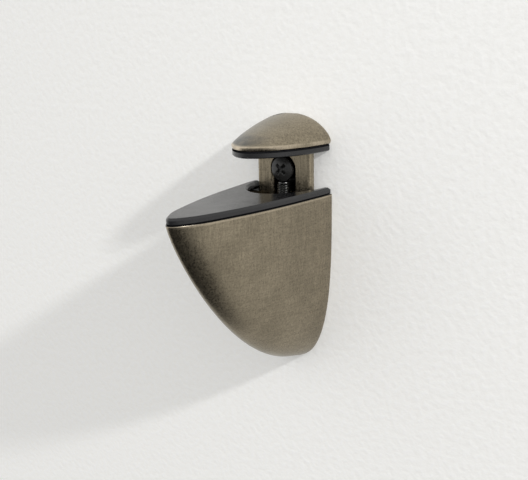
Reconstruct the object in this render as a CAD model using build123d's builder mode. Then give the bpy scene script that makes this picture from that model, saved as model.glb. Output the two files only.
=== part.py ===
from build123d import *

import os
from math import cos, pi, sin

# Adjustable clamp bracket for a shelf: a fixed lower jaw, and an upper jaw raised by a screw.
# Millimetres, +Z up. The wall is the plane Y = 0 and the bracket stands out of it along -Y.
# The origin is on the wall, on the centre line, level with the rim of the lower jaw.

# Lower jaw: a cup cast in one, shaped like a beak
jaw_width = 32.4
jaw_depth = 66.0
jaw_height = 61.8
jaw_wall = 1.8
nose_wall = 3.2
cavity_height = 50.0
bottom_cut = 0.6
rim_round = 0.35

# Curves of the castings, as the powers of their rounded outlines
plan_power = (1.34, 1.81)
drop_power = (1.19, 1.67)
side_power = (3.14, 2.55)
cap_plan_power = (1.84, 1.82)
cap_slope_power = (1.06, 1.2)
cap_arch_power = (1.43, 2.08)

# Lower and upper pads
pad_thickness = 2.25
pad_inset = 0.3
pad_bevel = 0.7
pad_undercut = 0.3
notch_side_room = 2.6
notch_front_room = 14.9
pad_wall_gap = 0.4
peg_radius = 1.5
peg_length = 5.0
peg_clearance = 0.08
upper_peg_length = 3.0

# Head of the upper jaw
cap_width = 31.6
cap_depth = 29.1
cap_rise = 8.7
cap_rim = 1.2
cap_round = 0.8

# Stem of the upper jaw, and its travel
opening_closed = 12.55
travel = 28.0
stem_width = 21.8
stem_thickness = 2.6
stem_edge_round = 1.1
slot_width = 8.8
slot_bevel = 0.8
foot_height = 8.0
foot_width = 8.4
foot_below_slot = 8.8
slide_gap = 0.1

# Tongue of the lower jaw, which stands behind the stem
tongue_width = 17.4
tongue_thickness = 2.9
tongue_web = 1.0
tongue_rise = 4.6
tongue_corner = 3.0
rail_width = 2.4
rail_lip = 1.7
rail_front = 1.9
rail_bottom_margin = 2.0

# Wall screw and the boss that it bears on
wall_screw_height = 8.2
boss_slot_gap = 0.4
boss_face = 5.4
wall_screw_radius = 2.2
wall_screw_neck_radius = 1.7
wall_screw_thread_start = 1.0
wall_screw_hole_gap = 0.2
wall_screw_length = 40.0
wall_screw_point = 6.0
head_slot_gap = 0.2
head_edge = 1.0
head_dome = 0.9
cross_width = 1.1
cross_length = 4.6
cross_depth = 1.6

# Adjusting screw, which runs up from the bottom of the lower jaw
adjuster_radius = 2.5
adjuster_offset = 5.0
thread_clearance = 0.05
ledge_clearance = 0.1
adjuster_top_gap = 0.6
adjuster_head_radius = 4.25
adjuster_head_height = 3.5
adjuster_head_clearance = 0.1
well_flare = 0.85
well_flare_height = 5.0
ledge_height = 5.0
socket_across_flats = 3.0
socket_depth = 2.2
ring_thickness = 0.8
ring_radius = 3.6
ring_groove_depth = 0.5
ring_gap = 0.1

# Ribs inside the lower jaw that carry the pad
rib_thickness = 2.0
rib_start = 23.0
pad_boss_radius = 2.8
pad_boss_height = 12.0
peg_hole_extra = 1.0
upper_peg_hole_extra = 0.5
pad_peg_places = (30.0, 47.0)
upper_peg_spread = 8.0
upper_peg_depth = 13.0

# Places worked out from the sizes above
stem_back = tongue_thickness + slide_gap
stem_front = stem_back + stem_thickness
upper_pad_bottom = pad_thickness + opening_closed
cap_bottom = upper_pad_bottom + pad_thickness
slot_top = wall_screw_height
slot_bottom = slot_top - travel
foot_top = slot_bottom - slot_width / 2 - foot_below_slot
stem_bottom = foot_top - foot_height
channel_bottom = stem_bottom - rail_bottom_margin
notch_width = stem_width + 2 * notch_side_room
notch_depth = stem_front + notch_front_room
tongue_top = wall_screw_height + tongue_rise
boss_radius = slot_width / 2 - boss_slot_gap
head_radius = slot_width / 2 - head_slot_gap
head_rim = boss_face + head_edge
head_top = head_rim + head_dome
ledge_top = -cavity_height
ledge_bottom = ledge_top - ledge_height
well_radius = adjuster_head_radius + adjuster_head_clearance
flare_top = ledge_bottom - adjuster_head_height
adjuster_top = wall_screw_height - boss_radius - adjuster_top_gap
foot_half_depth = adjuster_offset - tongue_web - 2 * slide_gap
pad_arm = jaw_width / 2 - pad_inset - notch_width / 2
level_shares = (0.0, 0.1, 0.22, 0.34, 0.46, 0.58, 0.69, 0.79, 0.87, 0.93, 0.97)
cap_shares = (0.0, 0.1, 0.22, 0.35, 0.48, 0.6, 0.72, 0.82, 0.9, 0.95, 0.985)

os.makedirs("parts", exist_ok=True)


def falling(share, powers):
    """1 at share 0, falling to 0 at share 1 along a rounded curve."""
    return (1 - min(share, 1.0) ** powers[0]) ** (1 / powers[1])


def arch_points(half_width, height, powers, count=12):
    """Points of an arch from +half_width over height to -half_width."""
    points = []
    for step in range(count + 1):
        angle = pi * step / count
        across = abs(cos(angle)) ** (2 / powers[1]) * half_width
        if step * 2 > count:
            across = -across
        if step * 2 == count:
            across = 0.0
        points.append((across, abs(sin(angle)) ** (2 / powers[0]) * height if 0 < step < count else 0.0))
    return points


def beak(width, depth, powers, back=0.0):
    """A face bounded by the plane Y = -back and by an arch that reaches out to Y = -depth."""
    points = [(x, -back - y) for x, y in arch_points(width / 2, depth - back, powers)]
    with BuildSketch(mode=Mode.PRIVATE) as outline:
        with BuildLine():
            Spline(*points, tangents=[(0, -1), (0, 1)])
            Line(points[-1], points[0])
        make_face()
    return outline.sketch


def dome(width, depth, height, plan, width_powers, depth_powers, shares, base=0.0):
    """Beak-shaped levels lofted from Z = base, each smaller than the last, to base + height."""
    levels = []
    for share in shares:
        level = beak(width * falling(share, width_powers), depth * falling(share, depth_powers), plan)
        levels.append(Pos(0, 0, base + share * height) * level)
    return loft(levels)


def edge_band(width, depth, plan, inset, low, high, count=4):
    """A rounded band whose outline widens by inset from Z = low to Z = high."""
    levels = []
    for step in range(count + 1):
        angle = pi / 2 * step / count
        shrink = inset * (1 - sin(angle))
        level = beak(width - 2 * shrink, depth - shrink, plan)
        levels.append(Pos(0, 0, low + (high - low) * (1 - cos(angle))) * level)
    return loft(levels, ruled=True)


outer_cup = dome(
    jaw_width,
    jaw_depth,
    rim_round - jaw_height,
    plan_power,
    side_power,
    drop_power,
    level_shares + (1 - bottom_cut / jaw_height,),
    base=-rim_round,
) + edge_band(jaw_width, jaw_depth, plan_power, rim_round, 0, -rim_round)
cavity = dome(
    jaw_width - 2 * jaw_wall,
    jaw_depth - nose_wall,
    -cavity_height,
    plan_power,
    side_power,
    drop_power,
    level_shares,
)

pad_peg_points = [(0, -place) for place in pad_peg_places]
upper_peg_points = [(side * upper_peg_spread, -upper_peg_depth) for side in (-1, 1)]

# Inside of the lower jaw: back plate, rib, rails and pad bosses, trimmed to the cup
with BuildPart() as filling:
    with BuildSketch():
        Rectangle(jaw_width, tongue_thickness, align=(Align.CENTER, Align.MAX))
    extrude(amount=-jaw_height)
    with BuildSketch():
        with Locations((0, -rib_start)):
            Rectangle(rib_thickness, jaw_depth, align=(Align.CENTER, Align.MAX))
    extrude(amount=-cavity_height)
    with BuildSketch():
        with Locations(*pad_peg_points):
            Circle(pad_boss_radius)
    extrude(amount=-pad_boss_height)
    with BuildSketch():
        with Locations((0, -tongue_thickness)):
            Rectangle(
                stem_width + 2 * slide_gap + 2 * rail_width,
                stem_thickness + 2 * slide_gap + rail_front,
                align=(Align.CENTER, Align.MAX),
            )
    extrude(amount=channel_bottom)
    add(outer_cup, mode=Mode.INTERSECT)

# Lower jaw: cup, inside and tongue in one casting, with the ways and holes cut out of it
with BuildPart() as lower_jaw:
    add(outer_cup)
    add(cavity, mode=Mode.SUBTRACT)
    add(filling.part)
    # tongue behind the stem
    with BuildSketch(Plane.XZ):
        Rectangle(tongue_width, tongue_top, align=(Align.CENTER, Align.MIN))
    tongue = extrude(amount=tongue_thickness)
    fillet(tongue.edges().filter_by(Axis.Y).group_by(Axis.Z)[-1], tongue_corner)
    # boss for the wall screw
    with BuildSketch(Plane.XZ):
        with Locations((0, wall_screw_height)):
            Circle(boss_radius)
    extrude(amount=boss_face)
    # way for the stem between the rails
    with BuildSketch(Plane.XY.offset(channel_bottom)):
        with Locations((0, -tongue_thickness)):
            Rectangle(
                stem_width + 2 * slide_gap,
                stem_thickness + 2 * slide_gap,
                align=(Align.CENTER, Align.MAX),
            )
        with Locations((0, -tongue_thickness)):
            Rectangle(
                stem_width - 2 * rail_lip,
                stem_thickness + 2 * slide_gap + rail_front,
                align=(Align.CENTER, Align.MAX),
            )
    extrude(amount=-channel_bottom, mode=Mode.SUBTRACT)
    # groove for the foot and the adjusting screw
    with BuildSketch(Plane.XY.offset(ledge_top)):
        with Locations((0, -tongue_web)):
            Rectangle(
                foot_width + 2 * slide_gap,
                2 * foot_half_depth + 2 * slide_gap,
                align=(Align.CENTER, Align.MAX),
            )
    extrude(amount=-ledge_top, mode=Mode.SUBTRACT)
    with BuildSketch():
        with Locations((0, -tongue_web)):
            Rectangle(
                foot_width + 2 * slide_gap,
                tongue_thickness - tongue_web,
                align=(Align.CENTER, Align.MAX),
            )
    extrude(amount=wall_screw_height - boss_radius, mode=Mode.SUBTRACT)
    # holes for the two screws and for the pegs of the pad
    with BuildSketch(Plane.XZ):
        with Locations((0, wall_screw_height)):
            Circle(wall_screw_radius + wall_screw_hole_gap)
    extrude(amount=boss_face, mode=Mode.SUBTRACT)
    with BuildSketch(Plane.XY.offset(ledge_top)):
        with Locations((0, -adjuster_offset)):
            Circle(adjuster_radius + ledge_clearance)
    extrude(amount=-ledge_height, mode=Mode.SUBTRACT)
    with BuildSketch(Plane.XY.offset(ledge_bottom)):
        with Locations((0, -adjuster_offset)):
            Circle(well_radius)
    extrude(amount=-jaw_height, mode=Mode.SUBTRACT)
    # mouth of the screw's well, flared away from the wall for the key
    with BuildSketch(Plane.XY.offset(flare_top)) as flare_start:
        with Locations((0, -adjuster_offset)):
            Circle(well_radius)
    with BuildSketch(Plane.XY.offset(flare_top - well_flare_height)) as flare_end:
        with Locations((0, -adjuster_offset - well_flare)):
            Circle(well_radius + well_flare)
    loft(sections=[flare_start.sketch, flare_end.sketch], mode=Mode.SUBTRACT)
    with BuildSketch():
        with Locations(*pad_peg_points):
            Circle(peg_radius + peg_clearance)
    extrude(amount=-peg_length - peg_hole_extra, mode=Mode.SUBTRACT)

# Lower pad: moulded to the rim, with an arched notch for the stem and two pegs
with BuildPart() as lower_pad:
    with BuildSketch():
        add(beak(jaw_width - 2 * pad_inset, jaw_depth - pad_inset, plan_power, back=pad_wall_gap))
        add(beak(notch_width, notch_depth, cap_plan_power), mode=Mode.SUBTRACT)
    plate = extrude(amount=pad_thickness)
    chamfer(plate.faces().sort_by(Axis.Z)[-1].outer_wire().edges(), min(pad_bevel, pad_arm / 3))
    chamfer(plate.faces().sort_by(Axis.Z)[0].outer_wire().edges(), min(pad_undercut, pad_arm / 3))
    with BuildSketch():
        with Locations(*pad_peg_points):
            Circle(peg_radius)
    extrude(amount=-peg_length)

# Upper jaw: domed head and slotted stem in one casting, with a tapped foot
cap = dome(
    cap_width,
    cap_depth,
    cap_rise,
    cap_plan_power,
    cap_arch_power,
    cap_slope_power,
    cap_shares,
    base=cap_bottom + cap_rim,
) + edge_band(cap_width, cap_depth, cap_plan_power, cap_round, cap_bottom, cap_bottom + cap_rim)

with BuildPart() as upper_jaw:
    add(cap)
    with BuildSketch(Plane.XY.offset(stem_bottom)):
        with Locations((0, -stem_back)):
            Rectangle(stem_width, stem_thickness, align=(Align.CENTER, Align.MAX))
    extrude(amount=cap_bottom + cap_rim - stem_bottom)
    stem_corners = upper_jaw.edges().filter_by(Axis.Z).filter_by_position(Axis.Y, -stem_front, -stem_front)
    fillet(stem_corners, stem_edge_round)
    with BuildSketch(Plane.XZ.offset(stem_back)):
        with Locations((0, (slot_top + slot_bottom) / 2)):
            SlotCenterToCenter(travel, slot_width, rotation=90)
    extrude(amount=stem_thickness, mode=Mode.SUBTRACT)
    front_edges = upper_jaw.edges().filter_by_position(Axis.Y, -stem_front, -stem_front)
    slot_mouth = front_edges.filter_by_position(Axis.X, -slot_width / 2, slot_width / 2)
    chamfer(slot_mouth.filter_by_position(Axis.Z, slot_bottom - slot_width, slot_top + slot_width), slot_bevel)
    with BuildSketch(Plane.XY.offset(stem_bottom)):
        with Locations((0, -adjuster_offset)):
            Rectangle(foot_width, 2 * foot_half_depth)
    extrude(amount=foot_height)
    with BuildSketch(Plane.XY.offset(stem_bottom)):
        with Locations((0, -adjuster_offset)):
            Circle(adjuster_radius + thread_clearance)
    extrude(amount=foot_height, mode=Mode.SUBTRACT)
    # clear way for the adjusting screw through the web between the foot and the slot
    with BuildSketch(Plane.XY.offset(foot_top)):
        with Locations((0, -adjuster_offset)):
            Circle(adjuster_radius + ledge_clearance)
    extrude(amount=foot_below_slot + slot_width / 2, mode=Mode.SUBTRACT)
    with BuildSketch(Plane.XY.offset(cap_bottom)):
        with Locations(*upper_peg_points):
            Circle(peg_radius + peg_clearance)
    extrude(amount=upper_peg_length + upper_peg_hole_extra, mode=Mode.SUBTRACT)

# Upper pad: fills the underside of the head round the stem, held by two pegs
with BuildPart() as upper_pad:
    with BuildSketch(Plane.XY.offset(upper_pad_bottom)):
        add(beak(cap_width - 2 * pad_inset, cap_depth - pad_inset, cap_plan_power, back=pad_wall_gap))
        Rectangle(
            stem_width + 2 * slide_gap,
            2 * stem_front + 2 * slide_gap,
            mode=Mode.SUBTRACT,
        )
    plate = extrude(amount=pad_thickness)
    chamfer(plate.edges().filter_by(GeomType.BSPLINE), pad_undercut)
    with BuildSketch(Plane.XY.offset(cap_bottom)):
        with Locations(*upper_peg_points):
            Circle(peg_radius)
    extrude(amount=upper_peg_length)

# Adjusting screw: head in the bottom of the lower jaw, thread through the foot of the stem
with BuildPart() as adjusting_screw:
    with BuildSketch(Plane.XY.offset(ledge_bottom)):
        with Locations((0, -adjuster_offset)):
            Circle(adjuster_radius)
    extrude(amount=adjuster_top - ledge_bottom)
    with BuildSketch(Plane.XY.offset(ledge_bottom)):
        with Locations((0, -adjuster_offset)):
            Circle(adjuster_head_radius)
    extrude(amount=-adjuster_head_height)
    with BuildSketch(Plane.XY.offset(ledge_bottom - adjuster_head_height)):
        with Locations((0, -adjuster_offset)):
            RegularPolygon(socket_across_flats / 2, 6, major_radius=False)
    extrude(amount=socket_depth, mode=Mode.SUBTRACT)
    with BuildSketch(Plane.XY.offset(ledge_top + ring_gap)):
        with Locations((0, -adjuster_offset)):
            Circle(adjuster_radius)
            Circle(adjuster_radius - ring_groove_depth, mode=Mode.SUBTRACT)
    extrude(amount=ring_thickness, mode=Mode.SUBTRACT)

# Retaining ring: sprung into a groove of the screw, above the ledge that the head is under
with BuildPart() as retaining_ring:
    with BuildSketch(Plane.XY.offset(ledge_top + ring_gap)):
        with Locations((0, -adjuster_offset)):
            Circle(ring_radius)
            Circle(adjuster_radius - ring_groove_depth, mode=Mode.SUBTRACT)
    extrude(amount=ring_thickness)

# Wall screw: round head with a cross recess, on the boss of the tongue
shank_end = wall_screw_length - boss_face
with BuildPart() as wall_screw:
    with BuildSketch(Plane.XY.offset(wall_screw_height)):
        with BuildLine():
            Polyline(
                (0, shank_end),
                (wall_screw_radius, shank_end - wall_screw_point),
                (wall_screw_radius, wall_screw_thread_start),
                (wall_screw_neck_radius, wall_screw_thread_start),
                (wall_screw_neck_radius, -boss_face),
                (head_radius, -boss_face),
                (head_radius, -head_rim),
            )
            TangentArc((0, -head_top), (head_radius, -head_rim), tangent=(1, 0))
            Line((0, -head_top), (0, shank_end))
        make_face()
    revolve(axis=Axis((0, 0, wall_screw_height), (0, 1, 0)))
    with BuildSketch(Plane.XZ.offset(head_top - cross_depth)):
        with Locations((0, wall_screw_height)):
            Rectangle(cross_length, cross_width, rotation=45)
            Rectangle(cross_width, cross_length, rotation=45)
    extrude(amount=2 * cross_depth, mode=Mode.SUBTRACT)

pieces = {
    "lower_jaw": lower_jaw,
    "lower_pad": lower_pad,
    "upper_jaw": upper_jaw,
    "upper_pad": upper_pad,
    "adjusting_screw": adjusting_screw,
    "retaining_ring": retaining_ring,
    "wall_screw": wall_screw,
}
for label, piece in pieces.items():
    piece.part.label = label
    export_step(piece.part, f"parts/{label}.step")
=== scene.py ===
from math import cos, pi, radians, sin

import bmesh
import bpy
from mathutils import Matrix, Vector


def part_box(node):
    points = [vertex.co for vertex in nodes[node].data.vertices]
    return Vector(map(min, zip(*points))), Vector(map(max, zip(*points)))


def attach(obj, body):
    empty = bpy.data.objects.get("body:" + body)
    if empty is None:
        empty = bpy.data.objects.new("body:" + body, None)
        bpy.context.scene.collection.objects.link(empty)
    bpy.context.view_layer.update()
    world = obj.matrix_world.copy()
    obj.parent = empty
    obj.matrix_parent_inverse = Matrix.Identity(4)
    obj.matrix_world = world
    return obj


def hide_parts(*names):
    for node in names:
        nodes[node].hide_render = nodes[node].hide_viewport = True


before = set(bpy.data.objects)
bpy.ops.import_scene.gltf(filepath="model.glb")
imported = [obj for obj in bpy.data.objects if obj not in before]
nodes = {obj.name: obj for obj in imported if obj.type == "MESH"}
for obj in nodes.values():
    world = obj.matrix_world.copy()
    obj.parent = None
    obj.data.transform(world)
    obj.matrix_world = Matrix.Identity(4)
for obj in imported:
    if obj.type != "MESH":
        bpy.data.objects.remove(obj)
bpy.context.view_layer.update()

# The castings: a hollow lower jaw and a domed head on a slotted stem, die-cast in zinc.
# They are plated, darkened to look like old bronze and brushed both ways, with painted highlights along
# the rims.


def new_material(name):
    """A material with its tree, its shader and its Object coordinates."""
    material = bpy.data.materials.new(name)
    material.use_nodes = True
    tree = material.node_tree
    place = tree.nodes.new("ShaderNodeTexCoord").outputs["Object"]
    return material, tree, tree.nodes["Principled BSDF"], place


def noise(tree, place, grain, detail=3.0, stretch=(1, 1, 1)):
    """Noise whose patches are about grain metres across, drawn out where stretch is small."""
    mapping = tree.nodes.new("ShaderNodeMapping")
    mapping.inputs["Scale"].default_value = stretch
    tree.links.new(place, mapping.inputs["Vector"])
    texture = tree.nodes.new("ShaderNodeTexNoise")
    texture.inputs["Scale"].default_value = 1 / grain
    texture.inputs["Detail"].default_value = detail
    tree.links.new(mapping.outputs[0], texture.inputs["Vector"])
    return texture.outputs[0]


def ramp(tree, source, low, high, low_at=0.35, high_at=0.65):
    """Turns a grey value into a grey or a colour between low and high."""
    node = tree.nodes.new("ShaderNodeValToRGB")
    for element, at, colour in zip(node.color_ramp.elements, (low_at, high_at), (low, high)):
        element.position = at
        element.color = (*colour, 1) if isinstance(colour, tuple) else (colour, colour, colour, 1)
    tree.links.new(source, node.inputs[0])
    return node.outputs[0]


def blend(tree, kind, factor, first, second):
    """Mixes two colours; each of the three inputs is a link or a plain value."""
    node = tree.nodes.new("ShaderNodeMix")
    node.data_type = "RGBA"
    node.blend_type = kind
    for socket, value in zip((node.inputs[0], node.inputs[6], node.inputs[7]), (factor, first, second)):
        if isinstance(value, bpy.types.NodeSocket):
            tree.links.new(value, socket)
        else:
            socket.default_value = (*value, 1) if isinstance(value, tuple) else value
    return node.outputs[2]


def calculate(tree, operation, *values):
    """One arithmetic step on links or plain numbers."""
    node = tree.nodes.new("ShaderNodeMath")
    node.operation = operation
    for socket, value in zip(node.inputs, values):
        if isinstance(value, bpy.types.NodeSocket):
            tree.links.new(value, socket)
        else:
            socket.default_value = value
    return node.outputs[0]


def along(tree, place, axis, start, end):
    """0 up to start and 1 from end, measured along one axis of the object."""
    split = tree.nodes.new("ShaderNodeSeparateXYZ")
    tree.links.new(place, split.inputs[0])
    node = tree.nodes.new("ShaderNodeMapRange")
    node.interpolation_type = "SMOOTHSTEP"
    node.inputs["From Min"].default_value = min(start, end)
    node.inputs["From Max"].default_value = max(start, end)
    tree.links.new(split.outputs[axis], node.inputs["Value"])
    return node.outputs[0] if start < end else calculate(tree, "SUBTRACT", 1.0, node.outputs[0])


def band(tree, place, axis, low, high, soft):
    """1 between two places along one axis of the object, fading out over soft at both ends."""
    rise = along(tree, place, axis, low - soft, low)
    return calculate(tree, "MULTIPLY", rise, along(tree, place, axis, high + soft, high))


def bump(tree, shader, source, depth, strength=1.0):
    """Lets a grey value raise the surface by up to depth metres."""
    node = tree.nodes.new("ShaderNodeBump")
    node.inputs["Strength"].default_value = strength
    node.inputs["Distance"].default_value = depth
    tree.links.new(source, node.inputs["Height"])
    tree.links.new(node.outputs[0], shader.inputs["Normal"])


def dress(name, material):
    """Gives a casting or a pad its finish."""
    for slot in nodes[name].material_slots:
        slot.material = material


patina_dark = (0.215, 0.184, 0.132)
patina_pale = (0.29, 0.248, 0.180)
# painted highlight colour for the pale rims of the castings
painted_highlight = (0.70, 0.60, 0.46)
# painted dark reflection above the head's rim, on its left
painted_dark_reflection = (0.085, 0.085, 0.080)
# painted shade that greys the left of the head
painted_left_shade = (0.17, 0.165, 0.145)
# painted shade along the top of the cup, where the pad sits
painted_contact_shade = (0.02, 0.02, 0.02)
cloud = 0.012
fleck = 0.0006
stroke = 0.0005
peg_length_below = 0.005
peg_length_above = 0.003


def antique_bronze(name, tone, down, across):
    """Dark brushed plating: strokes down and across, and a cloudy patina."""
    material, tree, shader, place = new_material(name)
    shader.inputs["Metallic"].default_value = 1.0
    patina = noise(tree, place, cloud, 5)
    speckle = noise(tree, place, fleck, 2)
    strokes_down = noise(tree, place, stroke, 3, (1, 1, 0.06))
    strokes_across = noise(tree, place, stroke, 3, (0.08, 0.08, 1))
    dark = tuple(share * tone for share in patina_dark)
    pale = tuple(share * tone for share in patina_pale)
    colour = ramp(tree, patina, dark, pale, 0.25, 0.7)
    colour = blend(tree, "MULTIPLY", down, colour, ramp(tree, strokes_down, 0.7, 1.25))
    colour = blend(tree, "MULTIPLY", across, colour, ramp(tree, strokes_across, 0.75, 1.2))
    colour = blend(tree, "MULTIPLY", 0.6, colour, ramp(tree, speckle, 0.75, 1.2))
    tree.links.new(ramp(tree, speckle, 0.26, 0.36), shader.inputs["Roughness"])
    bump(tree, shader, strokes_down, 0.00001, 0.5)
    return material, tree, shader, place, colour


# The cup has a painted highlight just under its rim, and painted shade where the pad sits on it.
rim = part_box("lower_pad")[0][2] + peg_length_below
cup, tree, shader, place, colour = antique_bronze("bronze_cup", 1.0, 0.35, 0.35)
# painted highlight: a pale line just under the cup's rim
rim_highlight = calculate(tree, "MULTIPLY", band(tree, place, "Z", rim - 0.0007, rim - 0.0002, 0.0002), 0.3)
colour = blend(tree, "MIX", rim_highlight, colour, painted_highlight)
# painted shade: a dark line at the very top of the cup, under the pad
shade_line_mask = along(tree, place, "Z", rim - 0.0003, rim - 0.0001)
tree.links.new(blend(tree, "MIX", shade_line_mask, colour, painted_contact_shade), shader.inputs["Base Color"])
dress("lower_jaw", cup)

# The head has a painted highlight on its rounded rim, a painted dark reflection just above it on the
# left, and painted shade that greys its left side.
cap_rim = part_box("upper_pad")[1][2] - peg_length_above
head, tree, shader, place, colour = antique_bronze("bronze_head", 1.12, 0.6, 0.2)
patches = ramp(tree, noise(tree, place, 0.005, 3), 0.2, 1.0, 0.3, 0.6)
on_dome = along(tree, place, "Z", cap_rim, cap_rim + 0.001)
# painted shade: the left of the dome is made greyer
left = calculate(tree, "MULTIPLY", along(tree, place, "X", 0.006, -0.010), on_dome)
colour = blend(tree, "MIX", calculate(tree, "MULTIPLY", left, 0.45), colour, painted_left_shade)
# painted dark reflection: dark patches just above the rim, on the left
low_left = calculate(tree, "MULTIPLY", along(tree, place, "X", 0.009, -0.004), patches)
above_rim = band(tree, place, "Z", cap_rim + 0.0018, cap_rim + 0.0034, 0.0012)
colour = blend(tree, "MIX", calculate(tree, "MULTIPLY", low_left, above_rim), colour, painted_dark_reflection)
# painted highlight on the head's rounded rim, stronger on the left
on_rim = band(tree, place, "Z", cap_rim + 0.0003, cap_rim + 0.0013, 0.0006)
rim_highlight = calculate(tree, "MULTIPLY", on_rim, patches)
more_on_left = calculate(tree, "MULTIPLY", 0.55, along(tree, place, "X", 0.012, 0.0))
rim_highlight = calculate(tree, "MULTIPLY", rim_highlight, calculate(tree, "ADD", 0.45, more_on_left))
tree.links.new(blend(tree, "MIX", rim_highlight, colour, painted_highlight), shader.inputs["Base Color"])
dress("upper_jaw", head)

# The pads: black plastic mouldings that keep the metal off the shelf.
# Pegs on their backs press into the castings, and the mould leaves them smooth and a little shiny.


def moulded_black(name, low, high, shine, crevice=None):
    """Black plastic or paint with a fine grain; crevice is a band of heights where the shine is taken
    away as painted shade.
    """
    material, tree, shader, place = new_material(name)
    fine = noise(tree, place, 0.0004, 2)
    broad = noise(tree, place, 0.006, 3)
    tree.links.new(ramp(tree, fine, low, high), shader.inputs["Base Color"])
    if crevice:
        # painted shade: the shine is taken away in this band, where the pad meets the metal
        shade_band = band(tree, place, "Z", *crevice, 0.0001)
        shine_left = calculate(tree, "MULTIPLY", calculate(tree, "SUBTRACT", 1.0, shade_band), 0.5)
        tree.links.new(shine_left, shader.inputs["Specular IOR Level"])
    rough = ramp(tree, broad, shine - 0.02, shine + 0.03)
    rough = blend(tree, "MULTIPLY", 0.5, rough, ramp(tree, fine, 0.8, 1.1))
    tree.links.new(rough, shader.inputs["Roughness"])
    bump(tree, shader, fine, 0.00001, 0.4)
    return material


pad_low = (0.006, 0.006, 0.007)
pad_high = (0.011, 0.011, 0.012)
# heights of the painted shade lines where the pads meet the metal
crevices = {
    "lower_pad": (rim - 0.0001, rim + 0.0004),
    "upper_pad": (cap_rim - 0.0005, cap_rim + 0.0001),
}
for name, crevice in crevices.items():
    dress(name, moulded_black("black_" + name, pad_low, pad_high, 0.24, crevice))

# The wall screw: steel coated black, with a round head, a cross recess and a plain neck.
# Its thread is rolled coarse and sharp, and it holds in a plug in the wall.
coat_low = (0.018, 0.018, 0.018)
coat_high = (0.034, 0.033, 0.031)
black_coat = moulded_black("black_coat", coat_low, coat_high, 0.30)


def circle(radius):
    """A round row of a turned piece."""
    return lambda height, angle: radius


def thread(root, crest, pitch, sharpness, start, end, taper=0.0):
    """A helical ridge on a core; it runs out at both ends, over taper at the far one."""

    def radius(height, angle):
        share = (height / pitch - angle / (2 * pi)) % 1
        ridge = max(0.0, 1 - sharpness * abs(2 * share - 1))
        fade = min(1.0, abs(height - start) / pitch, abs(end - height) / (taper or pitch))
        narrow = min(1.0, abs(end - height) / taper) if taper else 1.0
        return root * narrow + (crest - root) * ridge * fade

    return radius


def finish_piece(name, mesh, body, material):
    """Shades the mesh, gives it its finish and attaches it to its body."""
    mesh.shade_smooth()
    mesh.set_sharp_from_angle(angle=radians(30))
    mesh.materials.clear()
    mesh.materials.append(material)
    piece = bpy.data.objects.new(name, mesh)
    bpy.context.collection.objects.link(piece)
    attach(piece, body)
    return piece


def turned(name, rows, stand, body, slot, material, around=48):
    """A closed turned piece from rows of height and radius; stand turns height into a place."""
    mesh = bpy.data.meshes.new(name)
    angles = [2 * pi * step / around for step in range(around)]
    points = [stand(0, 0, rows[0][0])]
    for height, radius in rows:
        for angle in angles:
            reach = radius(height, angle)
            points.append(stand(reach * cos(angle), reach * sin(angle), height))
    points.append(stand(0, 0, rows[-1][0]))
    last = len(points) - 1
    faces = []
    for step in range(around):
        after = (step + 1) % around
        faces.append((0, 1 + after, 1 + step))
        for row in range(len(rows) - 1):
            low, high = 1 + row * around, 1 + (row + 1) * around
            faces.append((low + step, low + after, high + after, high + step))
        faces.append((last, last - around + step, last - around + after))
    mesh.from_pydata(points, [], faces)
    shell = bmesh.new()
    shell.from_mesh(mesh)
    bmesh.ops.recalc_face_normals(shell, faces=shell.faces)
    shell.to_mesh(mesh)
    shell.free()
    return finish_piece(name, mesh, body, material)


coarse_pitch = 0.0020
coarse_core = 0.00145
coarse_crest = 0.0022
coarse_start = 0.0010
coarse_point = 0.0060
screw_low, screw_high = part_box("wall_screw")
screw_height = (screw_low[2] + screw_high[2]) / 2
coarse_end = screw_high[1]
coarse_rows = 280
step = (coarse_end - coarse_start) / coarse_rows
ridge = thread(coarse_core, coarse_crest, coarse_pitch, 1.7, coarse_start, coarse_end, coarse_point)
turned(
    "wall_screw_thread",
    [(coarse_start + step * row, ridge) for row in range(coarse_rows)],
    lambda a, b, height: (a, height, screw_height + b),
    "bracket",
    "black_screw",
    black_coat,
)

# The head and neck keep their shape. The plain shank shrinks into a core inside the thread.
touching_points = 0.000001
core_share = 0.5
mesh = nodes["wall_screw"].data.copy()
shell = bmesh.new()
shell.from_mesh(mesh)
bmesh.ops.remove_doubles(shell, verts=shell.verts, dist=touching_points)
for vertex in shell.verts:
    if vertex.co.y > coarse_start - 0.0001:
        vertex.co.x *= core_share
        vertex.co.z = screw_height + (vertex.co.z - screw_height) * core_share
        vertex.co.y = min(vertex.co.y, coarse_end - coarse_point)
bmesh.ops.remove_doubles(shell, verts=shell.verts, dist=touching_points)
shell.to_mesh(mesh)
shell.free()
screw_head = finish_piece("wall_screw_head", mesh, "bracket", black_coat)
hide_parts("wall_screw")

# The adjusting screw and its retaining ring: zinc-plated steel, turned and rolled, lightly oiled.


def plated_steel(name):
    """Zinc plating with turning marks and stains."""
    material, tree, shader, place = new_material(name)
    shader.inputs["Metallic"].default_value = 1.0
    turned = noise(tree, place, 0.0003, 2, (0.1, 0.1, 1))
    stain = noise(tree, place, 0.004, 4)
    colour = ramp(tree, stain, (0.10, 0.10, 0.10), (0.17, 0.17, 0.165))
    colour = blend(tree, "MULTIPLY", 0.4, colour, ramp(tree, turned, 0.75, 1.15))
    tree.links.new(colour, shader.inputs["Base Color"])
    tree.links.new(ramp(tree, stain, 0.16, 0.28), shader.inputs["Roughness"])
    bump(tree, shader, turned, 0.00001, 0.4)
    return material


dress("retaining_ring", plated_steel("zinc_plated_ring"))

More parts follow.
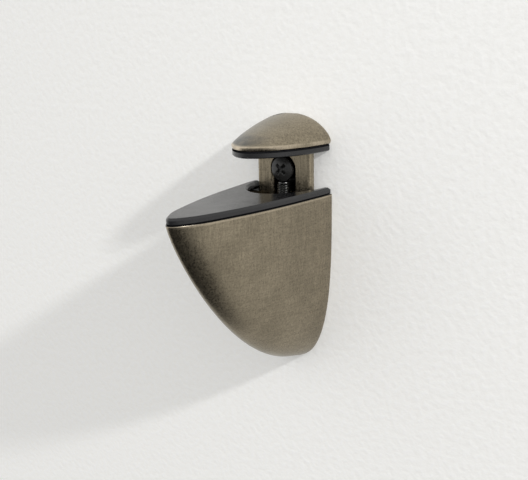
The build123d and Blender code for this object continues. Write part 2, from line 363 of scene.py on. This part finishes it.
# The thread of the adjusting screw is rolled, down to just above its ring. It turns in the tapped foot.
# A hexagon socket in its head takes the key, through the hole under the lower jaw.
screw_low, screw_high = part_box("adjusting_screw")
ring_low, ring_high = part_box("retaining_ring")
screw_place = (screw_low[1] + screw_high[1]) / 2
head_radius = (screw_high[0] - screw_low[0]) / 2
head_height = 0.0035
head_bevel = 0.0004
bolt_radius = 0.0025
bolt_core = 0.00204
fine_pitch = 0.0008
groove_radius = 0.0020
socket_reach = 0.0015
socket_depth = 0.0022
thread_relief = 0.0001
thread_start = ring_high[2] + 0.0012


def hexagon(height, angle):
    """A six-sided row of a turned piece."""
    return socket_reach / cos((angle + pi / 6) % (pi / 3) - pi / 6)


head_low = screw_low[2]
head_high = head_low + head_height
rows = [
    (head_low + socket_depth, hexagon),
    (head_low, hexagon),
    (head_low, circle(head_radius - head_bevel)),
    (head_low + head_bevel, circle(head_radius)),
    (head_high, circle(head_radius)),
    (head_high, circle(bolt_radius)),
    (ring_low[2], circle(bolt_radius)),
    (ring_low[2], circle(groove_radius)),
    (ring_high[2], circle(groove_radius)),
    (ring_high[2], circle(bolt_radius - thread_relief)),
    (thread_start, circle(bolt_core)),
]
steps_a_turn = 8
count = int((screw_high[2] - thread_start) / fine_pitch * steps_a_turn)
fine = thread(bolt_core, bolt_radius, fine_pitch, 1.0, thread_start, screw_high[2])
rise = (screw_high[2] - thread_start) / count
rows += [(thread_start + rise * row, fine) for row in range(1, count + 1)]
bolt = turned(
    "adjusting_screw_threaded",
    rows,
    lambda a, b, height: (a, screw_place + b, height),
    "adjuster",
    "plain_steel",
    plated_steel("zinc_plated_screw"),
)
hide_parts("adjusting_screw")

# The wall behind the bracket: plaster, rolled with white paint, so it has a fine orange-peel grain.
# It lets the view and the light through from behind, so that the back of the bracket can be seen.
wall_size = 1.6
wall_gap = 0.0002
wall_glow = 0.21
wall_low = (0.775, 0.77, 0.75)
wall_high = (0.805, 0.80, 0.785)


def see_through(tree, shader, hidden):
    """Makes a surface clear wherever hidden is 1."""
    clear = tree.nodes.new("ShaderNodeBsdfTransparent")
    both = tree.nodes.new("ShaderNodeMixShader")
    tree.links.new(hidden, both.inputs[0])
    tree.links.new(shader, both.inputs[1])
    tree.links.new(clear.outputs[0], both.inputs[2])
    tree.links.new(both.outputs[0], tree.nodes["Material Output"].inputs[0])


def sheet(name, corners, material):
    """A flat four-cornered piece of the room."""
    mesh = bpy.data.meshes.new(name)
    mesh.from_pydata(corners, [], [(0, 1, 2, 3)])
    mesh.materials.append(material)
    piece = bpy.data.objects.new(name, mesh)
    bpy.context.collection.objects.link(piece)


plaster, tree, shader, place = new_material("wall_paint")
grain = noise(tree, place, 0.0022, 4)
tree.links.new(ramp(tree, grain, wall_low, wall_high), shader.inputs["Base Color"])
shader.inputs["Roughness"].default_value = 0.9
bump(tree, shader, grain, 0.00035, 0.6)
rays = tree.nodes.new("ShaderNodeLightPath").outputs
mirrored = calculate(tree, "MAXIMUM", rays["Is Glossy Ray"], rays["Is Transmission Ray"])
seen = calculate(tree, "MAXIMUM", rays["Is Camera Ray"], mirrored)
shader.inputs["Emission Color"].default_value = (1.0, 0.995, 0.975, 1)
tree.links.new(calculate(tree, "MULTIPLY", seen, wall_glow), shader.inputs["Emission Strength"])
behind = tree.nodes.new("ShaderNodeNewGeometry").outputs["Backfacing"]
touching = calculate(tree, "LESS_THAN", rays["Ray Length"], 2 * wall_gap)
see_through(tree, shader.outputs[0], calculate(tree, "MAXIMUM", behind, touching))
sheet(
    "wall",
    [(x * wall_size, wall_gap, z * wall_size) for x, z in ((-1, -1), (1, -1), (1, 1), (-1, 1))],
    plaster,
)

# The room: pale on all sides but one. It is dark in front and below,
# so the nose of the lower jaw mirrors that dark side.
dark_way = Vector((0.10, -0.50, -0.85)).normalized()
world = bpy.data.worlds.new("room")
bpy.context.scene.world = world
world.use_nodes = True
tree = world.node_tree
way = tree.nodes.new("ShaderNodeTexCoord").outputs["Generated"]
toward = tree.nodes.new("ShaderNodeVectorMath")
toward.operation = "DOT_PRODUCT"
toward.inputs[1].default_value = dark_way
tree.links.new(way, toward.inputs[0])
room_pale = (0.96, 0.96, 0.95)
room_dark = (0.05, 0.05, 0.05)
room = ramp(tree, toward.outputs["Value"], room_pale, room_dark, 0.34, 0.76)
tree.links.new(room, tree.nodes["Background"].inputs[0])
tree.nodes["Background"].inputs[1].default_value = 1.0

# The lamp: small, close to the wall, on the right and above.
# The shadow falls long to the left, and the light doesn't fade with distance.
lamp_way = Vector((0.811, -0.332, 0.481))
lamp_distance = 0.401
lamp_data = bpy.data.lights.new("lamp", "POINT")
lamp_data.shadow_soft_size = 0.012
lamp_data.energy = 1.0
lamp_data.use_nodes = True
tree = lamp_data.node_tree
falloff = tree.nodes.new("ShaderNodeLightFalloff")
falloff.inputs["Strength"].default_value = 22.0
tree.links.new(falloff.outputs["Constant"], tree.nodes["Emission"].inputs["Strength"])
lamp = bpy.data.objects.new("lamp", lamp_data)
lamp.location = lamp_way * lamp_distance
bpy.context.collection.objects.link(lamp)

# The camera: close to the bracket, on its right and a little above,
# turned a little about its own axis.
camera_data = bpy.data.cameras.new("camera")
camera_data.sensor_width = 36
camera_data.lens = 55.76
camera = bpy.data.objects.new("camera", camera_data)
camera.location = (0.1557, -0.2385, 0.0536)
aim = Vector((0.00308, -0.02226, -0.01317))
roll = Matrix.Rotation(radians(-1.19), 3, "Z")
camera.rotation_euler = ((camera.location - aim).to_track_quat("Z", "Y").to_matrix() @ roll).to_euler()
bpy.context.collection.objects.link(camera)
bpy.context.scene.camera = camera
bpy.context.scene.view_settings.view_transform = "Standard"
